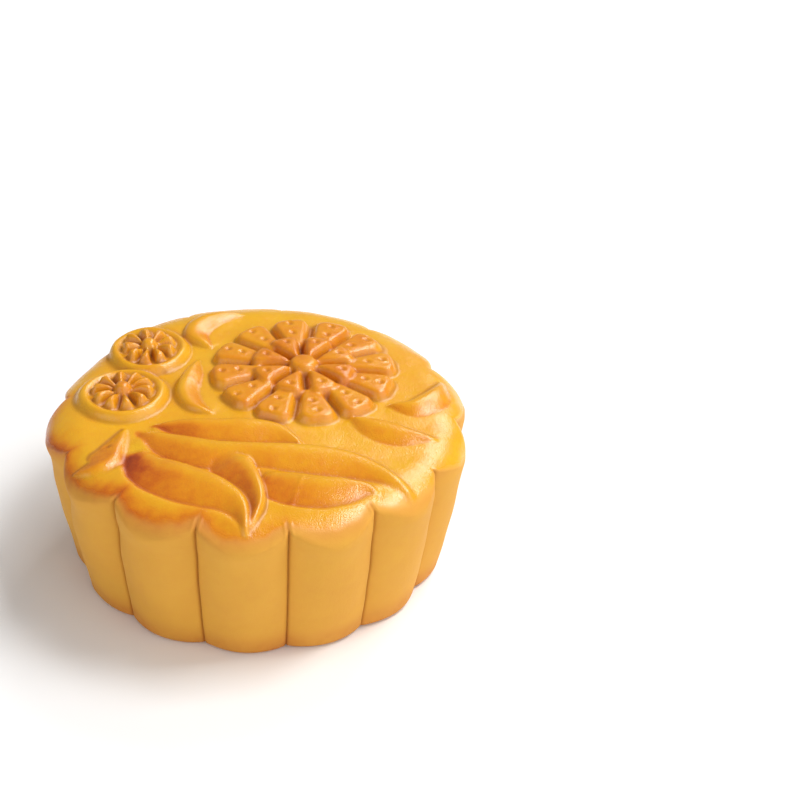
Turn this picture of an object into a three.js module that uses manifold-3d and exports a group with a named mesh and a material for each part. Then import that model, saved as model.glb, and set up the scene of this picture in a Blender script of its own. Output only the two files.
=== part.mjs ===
// A whole baked mooncake: one piece of dough pressed in a fluted wooden mould, then baked.
// Its wall has thirteen upright lobes with sharp grooves between them, its shoulder is rounded,
// and its top carries the mould's relief: a big flower, two small blossoms and a spray of leaves.
// Millimetres, +Z up, origin at the middle of the flat base; the spray of leaves faces -Y.

import * as THREE from "three";
import { mergeVertices } from "three/addons/utils/BufferGeometryUtils.js";
import Module from "manifold-3d";

const wasm = await Module();
wasm.setup();

// Driving dimensions of the cake
const RIM_RADIUS = 41; // over the lobes, at the top of the wall
const FOOT_RADIUS = 36.3; // over the lobes, at the foot
const TOP_HEIGHT = 31; // bare top, where it meets the shoulder
const CROWN = 0.9; // how much the middle of the top swells above that
const SHOULDER_REACH = 7.8; // of the rounded shoulder, in plan
const SHOULDER_DROP = 5; // of the same, downwards
const FOOT_ROUND = 1.6; // rounded lower edge
const WALL_BELLY = 0.2; // how far the wall swells between shoulder and foot

// Lobes of the wall
const LOBES = 13;
const GROOVE_DEPTH = 3.2; // under the shoulder
const GROOVE_DEPTH_AT_FOOT = 1.8;
const LOBE_FULLNESS = 0.8; // below 1 the lobes are plump and their grooves sharp
const GROOVE_TURN = 1; // how softly the shoulder turns down into a groove
const FIRST_GROOVE_DEG = 7.6; // from -Y towards +X
const LOBE_SWING_DEG = 3.9; // the hand-cut mould has narrower lobes on one side
const LOBE_SWING_LAG_DEG = -80;
const DENT = { at: -120, width: 15, depth: 2.6 }; // degrees, degrees, mm: pressed in while soft

// Relief of the top: every place on it is given on the unrolled top, the spray of leaves towards -Y
const SINK = 4; // how far every raised form reaches down into the dough
const FLOWER = { centre: [9, 12], inner: 7.5, outer: 18.5, petals: 12, turn: 8, rise: 1.9, fill: 0.93 };
const HEART = { centre: [9, 12], inner: 2.4, outer: 10.8, petals: 8, turn: 25, rise: 2.8, fill: 0.92 };
const FLOWER_BOSS = { centre: [9, 12], radius: 3.6, rise: 3.2 };
const BLOSSOMS = [
  { centre: [-26, 4.6], inner: 1.8, outer: 6.3, petals: 10, turn: 12, rise: 2.9, fill: 0.8 },
  { centre: [-21.6, 20.4], inner: 1.6, outer: 5.8, petals: 9, turn: 30, rise: 2.9, fill: 0.8 },
];
const BLOSSOM_BOSS = { radius: 2.4, rise: 3.4 };
const BLOSSOM_PLATE = { margin: 2.7, rise: 1.8 };

// Leaves: how high each rises, and its midrib as a few places with the leaf's width there: x, y, width
const LEAVES = {
  short: { rise: 1.5, midrib: [
    [-20.2, -5.6, 0.8], [-15, -6.9, 4.9], [-9, -8.1, 6.5],
    [-2.5, -8.8, 8], [3, -9.6, 6.8], [8.4, -12.9, 0.6],
  ] },
  long: { rise: 1.7, midrib: [
    [-22, -7.8, 3], [-16.4, -12.4, 7.6], [-9.3, -15.7, 8.9], [-0.5, -16.2, 7.2],
    [7.3, -17.4, 8.7], [15, -18.8, 8.7], [21.4, -21.8, 6.2], [28.6, -27.2, 0.6],
  ] },
  hooked: { rise: 2.1, midrib: [
    [-6.8, -15.8, 3.5], [-5.3, -19, 8.6], [-2.8, -23.4, 7],
    [-0.9, -28, 4.8], [-0.4, -32, 2.9], [-1.5, -36.3, 0.5],
  ] },
  frontLeft: { rise: 2, midrib: [
    [-23.4, -13.6, 4], [-20.4, -19.6, 9.6], [-14.6, -24.1, 11], [-9.5, -27, 9.8],
    [-5.6, -29.9, 7.4], [-3.3, -33.4, 4], [-2.2, -37.8, 0.5],
  ] },
  frontRight: { rise: 1.8, midrib: [
    [0.4, -23.2, 6.5], [4.5, -25.6, 9.2], [10.3, -27.4, 9.4],
    [15.8, -27.3, 7.2], [19.6, -26.9, 3.6], [22, -27, 0.6],
  ] },
  left: { rise: 1.3, midrib: [
    [-25.2, -6.2, 0.8], [-26, -9.8, 3.6], [-27, -13, 5.4],
    [-28.3, -16, 6.8], [-30.6, -18.2, 4.6], [-34, -18.2, 0.6],
  ] },
  right: { rise: 1.6, midrib: [[17.5, -3.8, 1], [22, -7.4, 6.4], [27.4, -9.8, 6.2], [33.5, -10.4, 0.6]] },
  outerRight: { rise: 1.5, midrib: [[25, 0.5, 1], [30.4, -0.6, 5.8], [34.4, 3.2, 5.4], [35.6, 9.5, 0.6]] },
  sprig: { rise: 1.5, midrib: [
    [-8.5, -2.4, 0.8], [-12.2, 0.8, 4.2], [-13.6, 6, 5.2], [-12.4, 11.8, 4.2], [-11.6, 16.5, 0.6],
  ] },
  back: { rise: 1.5, midrib: [[-9, 21.5, 1], [-12, 26.4, 5.6], [-9.6, 31, 5.2], [-3.2, 34, 0.6]] },
};

// Fineness of the mesh
const LOBE_COLUMNS = [0, 0.04, 0.13, 0.28, 0.5, 0.72, 0.87, 0.96]; // shares of a lobe, from a groove
const SHOULDER_RINGS = 6;
const WALL_RINGS = 3;
const FOOT_RINGS = 2;
const PETAL_SHARES = [0, 0.3, 0.6, 0.8, 0.93, 1]; // closest at the round outer end
const ROUND_SIDES = { boss: 16, smallBoss: 12, plate: 24 };
const SMALLEST_DETAIL = 0.04; // finer slivers, left where forms meet, are taken out

const radians = THREE.MathUtils.degToRad;

// The profile from the middle of the top, over the shoulder and down the wall, by distance along it
const CROWN_RADIUS = RIM_RADIUS - SHOULDER_REACH;
const SHOULDER_TURN = radians(95); // a little past upright, so that the wall leans in below it
const SHOULDER_LENGTH = (SHOULDER_TURN * (SHOULDER_REACH + SHOULDER_DROP)) / 2;
const SHOULDER_FOOT = new THREE.Vector2(
  CROWN_RADIUS + SHOULDER_REACH * Math.sin(SHOULDER_TURN),
  TOP_HEIGHT - SHOULDER_DROP * (1 - Math.cos(SHOULDER_TURN)),
);
const WALL_FOOT = new THREE.Vector2(FOOT_RADIUS, FOOT_ROUND);
const WALL_LENGTH = SHOULDER_FOOT.distanceTo(WALL_FOOT);
const FOOT_LENGTH = (FOOT_ROUND * Math.PI) / 2;

// Radius, height and outward normal of the profile at a distance from the middle of the top
function profileAt(distance) {
  if (distance <= CROWN_RADIUS) {
    const share = (distance / CROWN_RADIUS) ** 2;
    const slope = (4 * CROWN * distance * (1 - share)) / CROWN_RADIUS ** 2;
    const normal = new THREE.Vector2(slope, 1).normalize();
    return { r: distance, z: TOP_HEIGHT + CROWN * (1 - share) ** 2, normal };
  }
  const past = distance - CROWN_RADIUS;
  if (past <= SHOULDER_LENGTH) {
    const a = (past / SHOULDER_LENGTH) * SHOULDER_TURN;
    return {
      r: CROWN_RADIUS + SHOULDER_REACH * Math.sin(a),
      z: TOP_HEIGHT - SHOULDER_DROP * (1 - Math.cos(a)),
      normal: new THREE.Vector2(Math.sin(a) / SHOULDER_REACH, Math.cos(a) / SHOULDER_DROP).normalize(),
    };
  }
  const down = past - SHOULDER_LENGTH;
  if (down <= WALL_LENGTH) {
    const t = down / WALL_LENGTH;
    const point = SHOULDER_FOOT.clone().lerp(WALL_FOOT, t);
    const along = WALL_FOOT.clone().sub(SHOULDER_FOOT).normalize();
    const belly = WALL_BELLY * Math.sin(Math.PI * t);
    return { r: point.x + belly, z: point.y, normal: new THREE.Vector2(-along.y, along.x) };
  }
  const a = Math.min((down - WALL_LENGTH) / FOOT_LENGTH, 1) * (Math.PI / 2);
  return {
    r: FOOT_RADIUS - FOOT_ROUND * (1 - Math.cos(a)),
    z: FOOT_ROUND * (1 - Math.sin(a)),
    normal: new THREE.Vector2(Math.cos(a), -Math.sin(a)),
  };
}

// Angle of a groove in degrees: evenly spaced, then swung to and fro once round the cake
function grooveAngle(k) {
  const even = (k * 360) / LOBES;
  return FIRST_GROOVE_DEG + even + LOBE_SWING_DEG * Math.cos(radians(even - LOBE_SWING_LAG_DEG));
}

// 0 in a groove and 1 at the middle of a lobe, for an angle in degrees
function lobeAt(degrees) {
  const turn = THREE.MathUtils.euclideanModulo(degrees - grooveAngle(0), 360) + grooveAngle(0);
  let k = 0;
  while (k < LOBES - 1 && grooveAngle(k + 1) <= turn) k += 1;
  const end = k === LOBES - 1 ? grooveAngle(0) + 360 : grooveAngle(k + 1);
  const share = THREE.MathUtils.clamp((turn - grooveAngle(k)) / (end - grooveAngle(k)), 0, 1);
  return Math.sin(Math.PI * share) ** LOBE_FULLNESS;
}

// How far the fluted outline presses in a place of the shoulder: nothing well inside the outline, and
// back to it outside. Gap is the place's distance inside the rim, depth the outline's distance inside it.
function pressIn(gap, depth) {
  const over = depth - gap;
  const soft = (GROOVE_TURN * gap * depth) / (1 + gap * depth);
  if (over <= -soft) return 0;
  return over >= soft ? over : (over + soft) ** 2 / (4 * soft);
}

// How far the soft side is pressed in: most at the dent's angle, and less towards the middle of the top
function dentAt(distance, degrees) {
  const off = THREE.MathUtils.euclideanModulo(degrees - DENT.at + 180, 360) - 180;
  const outward = Math.min(distance / (CROWN_RADIUS + SHOULDER_LENGTH), 1) ** 3;
  return DENT.depth * Math.exp(-((off / DENT.width) ** 2)) * outward;
}

// A point of the cake's skin: distance from the middle of the top, angle from -Y, and lift off the skin
function skinPoint(distance, degrees, lift = 0) {
  const { r, z, normal } = profileAt(distance);
  const wallShare = THREE.MathUtils.clamp((distance - CROWN_RADIUS - SHOULDER_LENGTH) / WALL_LENGTH, 0, 1);
  const full = THREE.MathUtils.lerp(GROOVE_DEPTH, GROOVE_DEPTH_AT_FOOT, wallShare);
  const depth = full * (1 - lobeAt(degrees));
  const onWall = distance >= CROWN_RADIUS + SHOULDER_LENGTH;
  const pressed = onWall ? depth : pressIn(Math.max(SHOULDER_FOOT.x - r, 0), depth);
  const radius = r + normal.x * lift - pressed - dentAt(distance, degrees);
  const angle = radians(degrees);
  return new THREE.Vector3(radius * Math.sin(angle), -radius * Math.cos(angle), z + normal.y * lift);
}

// The same for a point drawn on the unrolled top
function onTop(x, y, lift) {
  return skinPoint(Math.hypot(x, y), THREE.MathUtils.radToDeg(Math.atan2(x, -y)), lift);
}

// Closed geometry from rings of points, each joined to the next, with a fan over both ends;
// rings may differ in their number of points
function loftRings(rings, startPole = null, endPole = null) {
  const points = rings.flat();
  const faces = [];
  let first = 0;
  for (let ring = 0; ring + 1 < rings.length; ring += 1) {
    const here = rings[ring].length;
    const next = rings[ring + 1].length;
    const a = (i) => first + (i % here);
    const b = (j) => first + here + (j % next);
    for (let i = 0, j = 0; i < here || j < next; ) {
      if ((j + 1) * here <= (i + 1) * next) {
        faces.push(a(i), b(j), b(j + 1));
        j += 1;
      } else {
        faces.push(a(i), b(j), a(i + 1));
        i += 1;
      }
    }
    first += here;
  }
  const fan = (start, ring, pole, flip) => {
    points.push(pole ?? average(ring));
    for (let i = 0; i < ring.length; i += 1) {
      const a = start + i;
      const b = start + ((i + 1) % ring.length);
      faces.push(points.length - 1, flip ? b : a, flip ? a : b);
    }
  };
  fan(0, rings[0], startPole, false);
  fan(first, rings.at(-1), endPole, true);
  const geometry = new THREE.BufferGeometry().setFromPoints(points);
  geometry.setIndex(faces);
  return geometry;
}

function average(points) {
  const sum = points.reduce((total, p) => total.add(p), new THREE.Vector3());
  return sum.divideScalar(points.length);
}

// A closed three.js geometry as a solid that can be joined to others
function solidOf(geometry) {
  const merged = mergeVertices(geometry, 1e-4);
  const triVerts = new Uint32Array(merged.index.array);
  const vertProperties = new Float32Array(merged.attributes.position.array);
  return new wasm.Manifold(new wasm.Mesh({ numProp: 3, vertProperties, triVerts }));
}

// The plain fluted cake: rings of skin points from the middle of the top to the edge of the base.
// Its top has fewer columns than its wall, because nothing there is fluted.
function cakeBody() {
  const columns = [];
  for (let k = 0; k < LOBES; k += 1) {
    const start = grooveAngle(k);
    const end = k === LOBES - 1 ? grooveAngle(0) + 360 : grooveAngle(k + 1);
    for (const share of LOBE_COLUMNS) columns.push(start + (end - start) * share);
  }
  const ringAt = (distance, each = 1) =>
    columns.filter((_, i) => i % each === 0).map((degrees) => skinPoint(distance, degrees));
  const wallTop = CROWN_RADIUS + SHOULDER_LENGTH;
  const foot = wallTop + WALL_LENGTH;
  const rings = [ringAt(CROWN_RADIUS / 3, 8), ringAt((CROWN_RADIUS * 2) / 3, 4), ringAt(CROWN_RADIUS, 2)];
  const addRings = (from, length, count) => {
    for (let i = 1; i <= count; i += 1) rings.push(ringAt(from + (length * i) / count));
  };
  addRings(CROWN_RADIUS, SHOULDER_LENGTH, SHOULDER_RINGS);
  addRings(wallTop, WALL_LENGTH, WALL_RINGS);
  addRings(foot, FOOT_LENGTH, FOOT_RINGS);
  for (const point of rings.at(-1)) point.z = 0;
  return loftRings(rings, skinPoint(0, 0), new THREE.Vector3(0, 0, 0));
}

// Cross-sections of raised forms, from one edge to the other: share of the half width, share of the rise.
// A leaf's face slopes up from its outer edge to a ridge near its inner edge, which drops steeply.
const LEAF_SECTION = [[-1, 0], [-0.85, 0.14], [-0.2, 0.6], [0.5, 1], [0.88, 0.78], [1, 0]];
const PETAL_SECTION = [[-1, 0], [-0.86, 0.78], [-0.55, 1], [0.55, 1], [0.86, 0.78], [1, 0]];
const RIB_SECTION = [[-1, 0], [-0.6, 0.85], [0.6, 0.85], [1, 0]];

// A raised form along a line on the unrolled top, cut across at the given shares of its length;
// halfAt and riseAt take such a share
function raisedForm(line, shares, section, halfAt, riseAt) {
  const rings = shares.map((share) => {
    const centre = line.getPoint(share);
    const tangent = line.getTangent(share);
    const half = halfAt(share);
    const across = (side, lift) =>
      onTop(centre.x - tangent.y * half * side, centre.y + tangent.x * half * side, lift);
    const upper = section.map(([side, height]) => across(side, riseAt(share) * height));
    return [...upper, across(1, -SINK), across(-1, -SINK)];
  });
  return solidOf(loftRings(rings));
}

// A leaf follows its midrib, low at its root and its tip
function leaf({ midrib, rise }) {
  const line = new THREE.SplineCurve(midrib.map(([x, y]) => new THREE.Vector2(x, y)));
  const width = new THREE.SplineCurve(midrib.map(([, , w], i) => new THREE.Vector2(i, w)));
  const steps = 2 * midrib.length;
  const shares = Array.from({ length: steps + 1 }, (_, i) => i / steps);
  const halfAt = (share) => Math.max(width.getPoint(share).y, 0.4) / 2;
  const riseAt = (share) => rise * (0.3 + 0.7 * Math.sin(Math.PI * share) ** 0.5);
  return raisedForm(line, shares, LEAF_SECTION, halfAt, riseAt);
}

// A ring of petals round a centre: each widens to its round outer end, with a narrow slot beside it
function petalRing({ centre, inner, outer, petals, turn, rise, fill }, section) {
  const slope = Math.tan(Math.PI / petals) * fill;
  const roundEnd = (share) => Math.max((1 - share ** 8) ** 0.5, 0.3);
  const halfAt = (share) => slope * THREE.MathUtils.lerp(inner, outer, share) * roundEnd(share);
  const riseAt = (share) => rise * (0.9 + 0.1 * Math.sin(Math.PI * share));
  return Array.from({ length: petals }, (_, k) => {
    const angle = radians(turn + (k * 360) / petals);
    const at = (radius) =>
      new THREE.Vector2(centre[0] + radius * Math.sin(angle), centre[1] - radius * Math.cos(angle));
    return raisedForm(new THREE.LineCurve(at(inner), at(outer)), PETAL_SHARES, section, halfAt, riseAt);
  });
}

// A round form: how high it stands in its middle and at each share of its radius makes it a domed boss,
// or a plate whose floor lies lower than its round rim
const DOME = { middle: 1, rings: [[0.55, 0.96], [0.9, 0.7], [1, 0.3]] };
const PLATE = { middle: 0.5, rings: [[0.62, 0.5], [0.73, 0.62], [0.86, 1], [0.95, 0.75], [1, 0.3]] };
function roundForm(centre, radius, rise, section, around) {
  const circle = (r, lift) =>
    Array.from({ length: around }, (_, j) => {
      const angle = (j / around) * 2 * Math.PI;
      return onTop(centre[0] + r * Math.cos(angle), centre[1] + r * Math.sin(angle), lift);
    });
  const rings = section.rings.map(([share, height]) => circle(radius * share, rise * height));
  rings.push(circle(radius, -SINK));
  return solidOf(loftRings(rings, onTop(...centre, rise * section.middle), onTop(...centre, -SINK)));
}

function bigFlower() {
  const { centre, radius, rise } = FLOWER_BOSS;
  const rings = [...petalRing(FLOWER, PETAL_SECTION), ...petalRing(HEART, PETAL_SECTION)];
  return [...rings, roundForm(centre, radius, rise, DOME, ROUND_SIDES.boss)];
}

// A small blossom lies in a low round plate of its own
function smallBlossom(blossom) {
  const { centre, outer } = blossom;
  const plateRadius = outer + BLOSSOM_PLATE.margin;
  return [
    roundForm(centre, plateRadius, BLOSSOM_PLATE.rise, PLATE, ROUND_SIDES.plate),
    ...petalRing(blossom, RIB_SECTION),
    roundForm(centre, BLOSSOM_BOSS.radius, BLOSSOM_BOSS.rise, DOME, ROUND_SIDES.smallBoss),
  ];
}

// Everything pressed in the mould is one piece of dough
const raised = [...Object.values(LEAVES).map(leaf), ...bigFlower(), ...BLOSSOMS.flatMap(smallBlossom)];
const cake = raised.reduce((soFar, form) => soFar.add(form), solidOf(cakeBody()));

const joined = cake.simplify(SMALLEST_DETAIL).getMesh();
const geometry = new THREE.BufferGeometry();
geometry.setAttribute("position", new THREE.BufferAttribute(joined.vertProperties, 3));
geometry.setIndex(new THREE.BufferAttribute(joined.triVerts, 1));
geometry.computeVertexNormals();

// The origin is under the middle of the cake's outline
geometry.computeBoundingBox();
const middle = geometry.boundingBox.getCenter(new THREE.Vector3());
geometry.translate(-middle.x, -middle.y, 0);

const crust = new THREE.MeshStandardMaterial({ color: 0xdc9a3c, roughness: 0.45, metalness: 0 });
const mooncake = new THREE.Mesh(geometry, crust);
mooncake.name = "mooncake";

const group = new THREE.Group();
group.add(mooncake);
export default group;
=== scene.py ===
import math
import bpy
import numpy as np
from mathutils import Matrix, Vector


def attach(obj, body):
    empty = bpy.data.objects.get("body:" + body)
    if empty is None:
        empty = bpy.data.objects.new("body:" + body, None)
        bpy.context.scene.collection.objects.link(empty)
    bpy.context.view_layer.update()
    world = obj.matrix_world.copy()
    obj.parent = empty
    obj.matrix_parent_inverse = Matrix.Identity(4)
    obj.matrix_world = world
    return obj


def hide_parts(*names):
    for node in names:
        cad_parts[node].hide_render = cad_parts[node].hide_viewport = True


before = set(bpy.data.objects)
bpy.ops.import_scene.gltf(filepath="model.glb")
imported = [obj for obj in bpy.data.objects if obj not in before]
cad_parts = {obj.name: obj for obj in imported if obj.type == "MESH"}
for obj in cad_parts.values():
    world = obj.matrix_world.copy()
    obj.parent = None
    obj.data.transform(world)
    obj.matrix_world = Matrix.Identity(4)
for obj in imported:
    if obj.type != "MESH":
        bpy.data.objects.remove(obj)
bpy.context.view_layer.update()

# The plain cake: dough round a filling, pressed by hand into a fluted wooden mould and knocked
# out of it, so that it has a rounded shoulder, thirteen upright lobes and a flat base.
# All sizes of the cake are in millimetres.
RIM_RADIUS = 41
FOOT_RADIUS = 36.3
TOP_HEIGHT = 31
CROWN = 0.9
SHOULDER_REACH = 7.8
SHOULDER_DROP = 5
SHOULDER_TURN = math.radians(95)
FOOT_ROUND = 1.6
WALL_BELLY = 0.2
LOBES = 13
LOBE_FULLNESS = 0.8
LOBE_RADIUS = 38  # where the width of a lobe is taken
LOBE_WIDTH = 2 * math.pi * LOBE_RADIUS / LOBES
FIRST_GROOVE_DEG = 7.6
LOBE_SWING_DEG = 3.9
LOBE_SWING_LAG_DEG = -80
GROOVE_DEPTH = 3.2
GROOVE_DEPTH_AT_FOOT = 1.8
GROOVE_TURN = 1  # how softly the shoulder turns down into a groove
LEAST_TURN = 1e-9  # keeps that turn above nought
SLIT_DEPTH = 0.35  # of the thin sharp line at the bottom of a groove
SLIT_WIDTH = 0.2
SLIT_LOSS = 0.7  # share of the slit's depth that is missing on the cake's right
SLIT_LOSS_FROM = 0.4  # how far to the right that starts
SLIT_LOSS_FULL = 0.75
RIGHT_STARTS_DEG = 20  # halfway between the cake's left and its right
DENT_AT_DEG = -120  # the soft dough was pressed in there
DENT_WIDTH_DEG = 15
DENT_DEPTH = 2.6
CROWN_RADIUS = RIM_RADIUS - SHOULDER_REACH
SHOULDER_LENGTH = SHOULDER_TURN * (SHOULDER_REACH + SHOULDER_DROP) / 2
SHOULDER_FOOT = np.array([
    CROWN_RADIUS + SHOULDER_REACH * math.sin(SHOULDER_TURN),
    TOP_HEIGHT - SHOULDER_DROP * (1 - math.cos(SHOULDER_TURN)),
])
WALL_FOOT = np.array([FOOT_RADIUS, FOOT_ROUND])
WALL_LENGTH = np.linalg.norm(WALL_FOOT - SHOULDER_FOOT)
FOOT_LENGTH = FOOT_ROUND * math.pi / 2
SHOULDER_END = CROWN_RADIUS + SHOULDER_LENGTH
WALL_END = SHOULDER_END + WALL_LENGTH


def smooth(x, low, high):
    """Nought below low, one above high, and an S-shaped rise between them."""
    t = np.clip((x - low) / (high - low), 0, 1)
    return t * t * (3 - 2 * t)


def profile(d):
    """Radius, height and outward normal at each distance d along the cake's profile from the
    middle of its top: a low crown, a shoulder that is part of an ellipse, a wall that leans in
    towards the foot with a slight belly, and a quarter circle at the foot."""
    near = np.clip(d / CROWN_RADIUS, 0, 1) ** 2
    crown = np.stack([d, TOP_HEIGHT + CROWN * (1 - near) ** 2], -1)
    crown_out = np.stack([4 * CROWN * d * (1 - near) / CROWN_RADIUS**2, np.ones_like(d)], -1)
    a = np.clip((d - CROWN_RADIUS) / SHOULDER_LENGTH, 0, 1) * SHOULDER_TURN
    shoulder = np.stack([
        CROWN_RADIUS + SHOULDER_REACH * np.sin(a),
        TOP_HEIGHT - SHOULDER_DROP * (1 - np.cos(a)),
    ], -1)
    shoulder_out = np.stack([np.sin(a) / SHOULDER_REACH, np.cos(a) / SHOULDER_DROP], -1)
    t = np.clip((d - SHOULDER_END) / WALL_LENGTH, 0, 1)[..., None]
    wall = SHOULDER_FOOT + (WALL_FOOT - SHOULDER_FOOT) * t
    wall = wall + WALL_BELLY * np.sin(math.pi * t) * np.array([1, 0])
    down = (WALL_FOOT - SHOULDER_FOOT) / WALL_LENGTH
    wall_out = np.broadcast_to([-down[1], down[0]], wall.shape)
    b = np.clip((d - WALL_END) / FOOT_LENGTH, 0, 1) * math.pi / 2
    foot = np.stack([FOOT_RADIUS - FOOT_ROUND * (1 - np.cos(b)), FOOT_ROUND * (1 - np.sin(b))], -1)
    foot_out = np.stack([np.cos(b), -np.sin(b)], -1)
    stretch = np.searchsorted([CROWN_RADIUS, SHOULDER_END, WALL_END], d)[..., None]
    point = np.choose(stretch, [crown, shoulder, wall, foot])
    out = np.choose(stretch, [crown_out, shoulder_out, wall_out, foot_out])
    return point, out / np.linalg.norm(out, axis=-1, keepdims=True)


def groove_angles():
    """Degrees of the thirteen grooves, and the first one again a full turn on: evenly spaced,
    then swung to and fro once round the cake, because the mould was cut by hand."""
    even = np.arange(LOBES + 1) * 360 / LOBES
    swing = LOBE_SWING_DEG * np.cos(np.radians(even - LOBE_SWING_LAG_DEG))
    return FIRST_GROOVE_DEG + even + swing


def to_the_right(degrees):
    """One on the cake's right, where its grooves are finer and its shoulder paler, because it was
    baked less and because less painted shade falls there, nought on its left, and a sine between
    them."""
    return 0.5 + 0.5 * np.sin(np.radians(degrees - RIGHT_STARTS_DEG))


def press_in(gap, depth):
    """How far the fluted outline presses in a place of the shoulder: nothing well inside the
    outline, back to it outside, and a parabola where the skin turns down. Gap is the place's
    distance inside the rim, and depth the outline's."""
    over = depth - gap
    soft = GROOVE_TURN * gap * depth / (1 + gap * depth) + LEAST_TURN
    turning = (over + soft) ** 2 / (4 * soft)
    return np.where(over <= -soft, 0, np.where(over >= soft, over, turning))


def dent(d, degrees):
    """How far the soft side is pressed in: a bell curve round the cake, growing with the cube
    of the distance from the middle of the top."""
    off = (degrees - DENT_AT_DEG + 180) % 360 - 180
    round_the_cake = np.exp(-((off / DENT_WIDTH_DEG) ** 2))
    return DENT_DEPTH * round_the_cake * np.minimum(d / SHOULDER_END, 1) ** 3


def cake_skin(d, degrees, lobe_share, lift):
    """Points of the cake's skin: the profile turned to the angle, raised along its normal by
    lift, and pressed straight in by the dent and by the groove. A groove's depth is one minus
    a power of a sine across each lobe, and falls off quickly beside the slit at its bottom."""
    point, out = profile(d)
    down_wall = np.clip((d - SHOULDER_END) / WALL_LENGTH, 0, 1)
    full = GROOVE_DEPTH + (GROOVE_DEPTH_AT_FOOT - GROOVE_DEPTH) * down_wall
    lobe = np.sin(math.pi * np.clip(lobe_share, 0, 1)) ** LOBE_FULLNESS
    from_groove = np.minimum(lobe_share, 1 - lobe_share) * LOBE_WIDTH
    lost = SLIT_LOSS * smooth(to_the_right(degrees), SLIT_LOSS_FROM, SLIT_LOSS_FULL)
    depth = full * (1 - lobe) + SLIT_DEPTH * (1 - lost) * np.exp(-from_groove / SLIT_WIDTH)
    gap = np.maximum(SHOULDER_FOOT[0] - point[..., 0], 0)
    pressed = np.where(d >= SHOULDER_END, depth, press_in(gap, depth))
    radius = point[..., 0] + out[..., 0] * lift - pressed - dent(d, degrees)
    height = point[..., 1] + out[..., 1] * lift
    a = np.radians(degrees)
    return np.stack([radius * np.sin(a), -radius * np.cos(a), height], -1)


# The places of the skin's mesh. The top is a square net of cells laid over a disc, whose
# square rings become round ones; the wall's rows go on from its edge, down to the base.
TOP_RINGS = 130
NET_SIDE = 2 * TOP_RINGS + 1
COLUMNS = 8 * TOP_RINGS
WALL_ROWS = 26
FOOT_ROWS = 4
GATHER = 0.55  # how much closer the columns stand beside a groove
GATHER_FROM = 0.6 * CROWN_RADIUS


def net_places():
    """Distance, angle and share of a lobe of every vertex: first the square net, row by row,
    then the rows of the wall. A place on the net's ring number j is j steps from the middle,
    and its place round that square ring is its turn round the cake."""
    steps = np.arange(-TOP_RINGS, TOP_RINGS + 1)
    u, back = np.meshgrid(steps, steps)
    v = -back
    ring = np.maximum(np.abs(u), np.abs(v))
    safe = np.maximum(ring, 1)
    eighth = np.select(
        [(v == ring), (u == ring), (v == -ring)],
        [u / safe, 2 - v / safe, 4 - u / safe],
        6 + v / safe,
    )
    turn = np.concatenate([
        (eighth.ravel() % 8) / 8,
        np.tile(np.arange(COLUMNS) / COLUMNS, WALL_ROWS + FOOT_ROWS),
    ])
    wall_d = SHOULDER_END + WALL_LENGTH * np.arange(1, WALL_ROWS + 1) / WALL_ROWS
    foot_d = WALL_END + FOOT_LENGTH * np.arange(1, FOOT_ROWS + 1) / FOOT_ROWS
    d = np.concatenate([
        SHOULDER_END * ring.ravel() / TOP_RINGS,
        np.repeat(np.concatenate([wall_d, foot_d]), COLUMNS),
    ])
    lobe_place = turn * LOBES
    lobe = np.minimum(lobe_place.astype(int), LOBES - 1)
    share = lobe_place - lobe
    gather = GATHER * smooth(d, GATHER_FROM, CROWN_RADIUS)
    share = share - gather * np.sin(2 * math.pi * share) / (2 * math.pi)
    grooves = groove_angles()
    degrees = grooves[lobe] + (grooves[lobe + 1] - grooves[lobe]) * share
    return d, degrees, share


def net_faces():
    """Quads of the square net and of the wall's rows, and one fan of triangles for the base."""
    index = np.arange(NET_SIDE**2).reshape(NET_SIDE, NET_SIDE)
    top = np.stack([index[:-1, :-1], index[:-1, 1:], index[1:, 1:], index[1:, :-1]], -1)
    front = index[0, TOP_RINGS:]
    right = index[1:, -1]
    rear = index[-1, -2::-1]
    left = index[-2::-1, 0]
    rim = np.concatenate([front, right, rear, left, index[0, 1:TOP_RINGS]])
    rows = NET_SIDE**2 + np.arange((WALL_ROWS + FOOT_ROWS) * COLUMNS).reshape(-1, COLUMNS)
    rows = np.vstack([rim, rows])
    across = np.roll(rows, -1, axis=1)
    wall = np.stack([rows[:-1], rows[1:], across[1:], across[:-1]], -1)
    centre = np.full(COLUMNS, rows.max() + 1)
    base = np.stack([centre, across[-1], rows[-1]], -1)
    return top.reshape(-1, 4), wall.reshape(-1, 4), base


distance, degrees, lobe_share = net_places()
unrolled_x = distance * np.sin(np.radians(degrees))
unrolled_y = -distance * np.cos(np.radians(degrees))

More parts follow.
